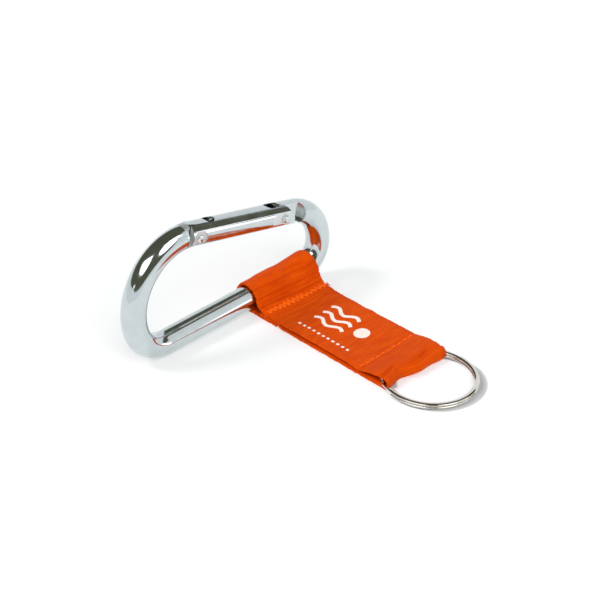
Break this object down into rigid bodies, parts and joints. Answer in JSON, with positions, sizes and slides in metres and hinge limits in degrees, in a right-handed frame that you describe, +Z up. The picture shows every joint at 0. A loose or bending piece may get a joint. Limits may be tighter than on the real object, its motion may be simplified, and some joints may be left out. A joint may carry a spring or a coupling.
{
  "type": "carabiner keyring",
  "caption": "Round-bar snap carabiner with a sprung inward gate, a short folded webbing strap sewn round its spine and a flat-wire split ring for keys.",
  "frame": {"origin": "middle of the footprint on the floor, with the carabiner standing on its spine and the strap lying flat", "axes": "+Z up, +Y from the split ring towards the carabiner, +X along the spine from the wide latch end to the narrow hinge end"},
  "size_m": [0.0868, 0.0894, 0.0417],
  "materials": {
    "polished_aluminium": "polished",
    "gate_aluminium": "polished",
    "rivet_steel": "satin",
    "spring_steel": "bare wire",
    "orange_webbing": "woven polyester webbing",
    "orange_thread": "polyester sewing thread",
    "nickel_plate": "bright nickel plate"
  },
  "bodies": {
    "carabiner": {"carabiner_frame": "polished_aluminium"},
    "gate": {"gate_bar": "gate_aluminium", "hinge_rivet": "rivet_steel", "latch_rivet": "rivet_steel", "gate_spring": "spring_steel"},
    "plunger": {"spring_plunger": "rivet_steel"},
    "strap": {"strap_webbing": "orange_webbing", "loop_seam_top_thread": "orange_thread", "loop_seam_bobbin_thread": "orange_thread", "ring_seam_top_thread": "orange_thread", "ring_seam_bobbin_thread": "orange_thread"},
    "ring_pocket": {"ring_pocket_webbing": "orange_webbing"},
    "ring": {"split_ring": "nickel_plate"}
  },
  "joints": [
    {"name": "gate_hinge", "type": "hinge", "parent": "carabiner", "child": "gate", "pos_m": [0.02135, 0.03884, 0.02961], "axis": [0, -1, 0], "range_deg": [0, 26], "stiffness_Nm_per_rad": 0.05, "springref_deg": -28.65},
    {"name": "plunger_slide", "type": "slide", "parent": "gate", "child": "plunger", "axis": [-0.9815, 0, 0.1917], "range_m": [0, 0.0011], "deforming": ["gate_spring"]},
    {"name": "strap_swing", "type": "hinge", "parent": "carabiner", "child": "strap", "pos_m": [-0.02766, 0.03884, 0.00401], "axis": [0.9995, 0, 0.0314], "range_deg": [-60, 230]},
    {"name": "pocket_flex", "type": "hinge", "parent": "strap", "child": "ring_pocket", "pos_m": [0.0182, -0.0138, 0.00115], "axis": [1, 0, 0], "range_deg": [-50, 50], "stiffness_Nm_per_rad": 0.001},
    {"name": "ring_spin", "type": "hinge", "parent": "ring_pocket", "child": "ring", "pos_m": [0.01794, -0.02966, 0.00147], "axis": [0, -0.0387, 0.9992], "continuous": true}
  ],
  "couplings": [
    {"joint": "plunger_slide", "follows": "gate_hinge", "m_per_rad": 0.0024}
  ]
}
